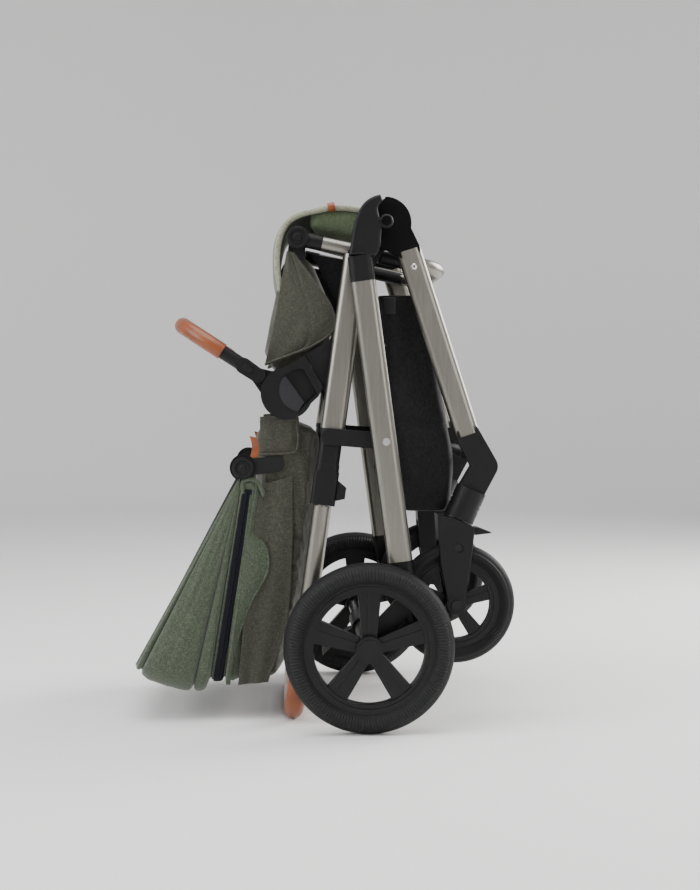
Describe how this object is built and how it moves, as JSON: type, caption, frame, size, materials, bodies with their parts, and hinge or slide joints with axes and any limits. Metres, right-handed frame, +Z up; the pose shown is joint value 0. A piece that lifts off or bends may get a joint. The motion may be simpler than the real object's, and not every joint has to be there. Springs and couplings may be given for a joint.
{
  "type": "baby stroller",
  "caption": "Folded pushchair that stands on its rear wheels and handlebar, with a padded seat, hood, bumper bar, basket and swivelling front wheels.",
  "frame": {"origin": "on the floor, at the middle of the folded stroller's bounding box", "axes": "+Z up; +X towards the front wheels; +Y towards the stroller's left side"},
  "size_m": [0.617, 0.598, 0.848],
  "materials": {
    "frame_aluminium": "satin anodised",
    "black_plastic": "fine moulded grain",
    "black_steel": "satin powder coat",
    "bright_steel": "plated",
    "grey_plastic": "fine moulded grain",
    "rim_plastic": "satin moulded",
    "tyre_foam": "ribbed foam rubber",
    "tan_leather": "stitched leatherette",
    "sage_fabric": "melange weave",
    "olive_fabric": "melange weave",
    "basket_nylon": "plain nylon"
  },
  "bodies": {
    "rear_frame": {"rear_leg_right": "frame_aluminium", "rear_leg_left": "frame_aluminium", "hinge_cap_right": "black_plastic", "hinge_cap_left": "black_plastic", "rear_feet": "black_plastic", "frame_pins": "bright_steel", "basket": "basket_nylon"},
    "rear_axle": {"rear_arm_right": "black_plastic", "rear_arm_left": "black_plastic", "rear_crossbar": "black_steel"},
    "brake": {"brake_pedal": "black_plastic"},
    "front_frame": {"front_leg_right": "frame_aluminium", "front_leg_left": "frame_aluminium", "fold_discs": "black_plastic", "front_elbow_right": "black_plastic", "front_elbow_left": "black_plastic", "front_crossbar": "black_plastic"},
    "handle": {"handle_tube_right": "frame_aluminium", "handle_tube_left": "frame_aluminium", "handle_lugs": "black_plastic", "handle_housing_right": "black_plastic", "handle_housing_left": "black_plastic", "seat_adaptor_right": "black_plastic", "seat_adaptor_left": "black_plastic", "seat_hub_right": "black_plastic", "seat_hub_left": "black_plastic"},
    "handle_upper": {"handle_bar": "frame_aluminium", "handle_grip": "tan_leather"},
    "seat_base": {"seat_base_frame": "black_steel", "seat_pad": "olive_fabric"},
    "legrest": {"legrest_frame": "frame_aluminium", "legrest_pad": "sage_fabric"},
    "backrest": {"backrest_frame": "black_steel", "seat_back": "olive_fabric"},
    "bumper": {"bumper_bar": "black_plastic", "bumper_sleeve": "tan_leather"},
    "canopy": {"canopy_hood": "sage_fabric", "canopy_frame": "black_plastic"},
    "rear_wheel_right": {"rear_tyre_right": "tyre_foam", "rear_rim_right": "rim_plastic", "rear_wheel_cap_right": "rim_plastic"},
    "latch_right": {"fold_latch_right": "black_plastic"},
    "caster_right": {"front_fork_right": "black_plastic", "front_axle_right": "black_steel"},
    "swivel_lock_right": {"swivel_lock_right": "black_plastic"},
    "front_wheel_right": {"front_tyre_right": "tyre_foam", "front_rim_right": "rim_plastic"},
    "handle_lock_right": {"handle_lock_right": "black_plastic"},
    "hub_button_right": {"hub_button_right": "grey_plastic"},
    "rear_wheel_left": {"rear_tyre_left": "tyre_foam", "rear_rim_left": "rim_plastic", "rear_wheel_cap_left": "rim_plastic"},
    "latch_left": {"fold_latch_left": "black_plastic"},
    "caster_left": {"front_fork_left": "black_plastic", "front_axle_left": "black_steel"},
    "swivel_lock_left": {"swivel_lock_left": "black_plastic"},
    "front_wheel_left": {"front_tyre_left": "tyre_foam", "front_rim_left": "rim_plastic"},
    "handle_lock_left": {"handle_lock_left": "black_plastic"},
    "hub_button_left": {"hub_button_left": "grey_plastic"}
  },
  "joints": [
    {"name": "handle_fold", "type": "hinge", "parent": "rear_frame", "child": "handle", "pos_m": [0.0985, 0, 0.806], "axis": [0, 1, 0], "range_deg": [0, 78]},
    {"name": "front_fold", "type": "hinge", "parent": "rear_frame", "child": "front_frame", "pos_m": [0.0985, 0, 0.806], "axis": [0, 1, 0], "range_deg": [-62, 0]},
    {"name": "rear_suspension", "type": "hinge", "parent": "rear_frame", "child": "rear_axle", "pos_m": [0.1325, 0, 0.205], "axis": [0, 1, 0], "range_deg": [0, 6], "stiffness_Nm_per_rad": 160, "springref_deg": -6.88},
    {"name": "brake_press", "type": "hinge", "parent": "rear_axle", "child": "brake", "pos_m": [0.0705, 0, 0.135], "axis": [0, 1, 0], "range_deg": [0, 25]},
    {"name": "handle_telescope", "type": "slide", "parent": "handle", "child": "handle_upper", "axis": [-0.1366, 0, -0.9906], "range_m": [0, 0.1]},
    {"name": "seat_tilt", "type": "hinge", "parent": "handle", "child": "seat_base", "pos_m": [-0.0645, 0, 0.536], "axis": [0, 1, 0], "range_deg": [-40, 0]},
    {"name": "legrest_angle", "type": "hinge", "parent": "seat_base", "child": "legrest", "pos_m": [-0.0405, 0, 0.787], "axis": [0, 1, 0], "range_deg": [-90, 0]},
    {"name": "backrest_recline", "type": "hinge", "parent": "handle", "child": "backrest", "pos_m": [-0.0645, 0, 0.536], "axis": [0, 1, 0], "range_deg": [0, 40]},
    {"name": "canopy_open", "type": "hinge", "parent": "backrest", "child": "canopy", "pos_m": [-0.1295, 0, 0.414], "axis": [0, 1, 0], "range_deg": [0, 75]},
    {"name": "bumper_swing", "type": "hinge", "parent": "handle", "child": "bumper", "pos_m": [-0.1055, 0, 0.564], "axis": [0, 1, 0], "range_deg": [-60, 0]},
    {"name": "rear_wheel_spin_right", "type": "hinge", "parent": "rear_axle", "child": "rear_wheel_right", "pos_m": [0.0705, -0.277, 0.135], "axis": [0, 1, 0], "continuous": true},
    {"name": "latch_right_swing", "type": "hinge", "parent": "rear_frame", "child": "latch_right", "pos_m": [0.0987, -0.222, 0.4583], "axis": [0, 1, 0], "range_deg": [0, 20]},
    {"name": "caster_swivel_right", "type": "hinge", "parent": "front_frame", "child": "caster_right", "pos_m": [0.2175, -0.208, 0.333], "axis": [0.4067, 0, 0.9135], "range_deg": [-20, 0]},
    {"name": "swivel_lock_right_lift", "type": "hinge", "parent": "caster_right", "child": "swivel_lock_right", "pos_m": [0.2335, -0.208, 0.314], "axis": [0, 1, 0], "range_deg": [-12, 0]},
    {"name": "front_wheel_spin_right", "type": "hinge", "parent": "caster_right", "child": "front_wheel_right", "pos_m": [0.2115, -0.208, 0.197], "axis": [0, 1, 0], "continuous": true},
    {"name": "handle_lock_right_press", "type": "slide", "parent": "handle", "child": "handle_lock_right", "axis": [0.1366, 0, 0.9906], "range_m": [0, 0.006], "stiffness_N_per_m": 800},
    {"name": "hub_button_right_press", "type": "slide", "parent": "handle", "child": "hub_button_right", "axis": [0, 1, 0], "range_m": [0, 0.004], "stiffness_N_per_m": 900},
    {"name": "rear_wheel_spin_left", "type": "hinge", "parent": "rear_axle", "child": "rear_wheel_left", "pos_m": [0.0705, 0.277, 0.135], "axis": [0, 1, 0], "continuous": true},
    {"name": "latch_left_swing", "type": "hinge", "parent": "rear_frame", "child": "latch_left", "pos_m": [0.0987, 0.222, 0.4583], "axis": [0, 1, 0], "range_deg": [0, 20]},
    {"name": "caster_swivel_left", "type": "hinge", "parent": "front_frame", "child": "caster_left", "pos_m": [0.2175, 0.208, 0.333], "axis": [0.4067, 0, 0.9135], "range_deg": [0, 20]},
    {"name": "swivel_lock_left_lift", "type": "hinge", "parent": "caster_left", "child": "swivel_lock_left", "pos_m": [0.2335, 0.208, 0.314], "axis": [0, 1, 0], "range_deg": [-12, 0]},
    {"name": "front_wheel_spin_left", "type": "hinge", "parent": "caster_left", "child": "front_wheel_left", "pos_m": [0.2115, 0.208, 0.197], "axis": [0, 1, 0], "continuous": true},
    {"name": "handle_lock_left_press", "type": "slide", "parent": "handle", "child": "handle_lock_left", "axis": [0.1366, 0, 0.9906], "range_m": [0, 0.006], "stiffness_N_per_m": 800},
    {"name": "hub_button_left_press", "type": "slide", "parent": "handle", "child": "hub_button_left", "axis": [0, -1, 0], "range_m": [0, 0.004], "stiffness_N_per_m": 900}
  ],
  "couplings": [
    {"joint": "front_fold", "follows": "handle_fold", "ratio": -0.79487}
  ]
}
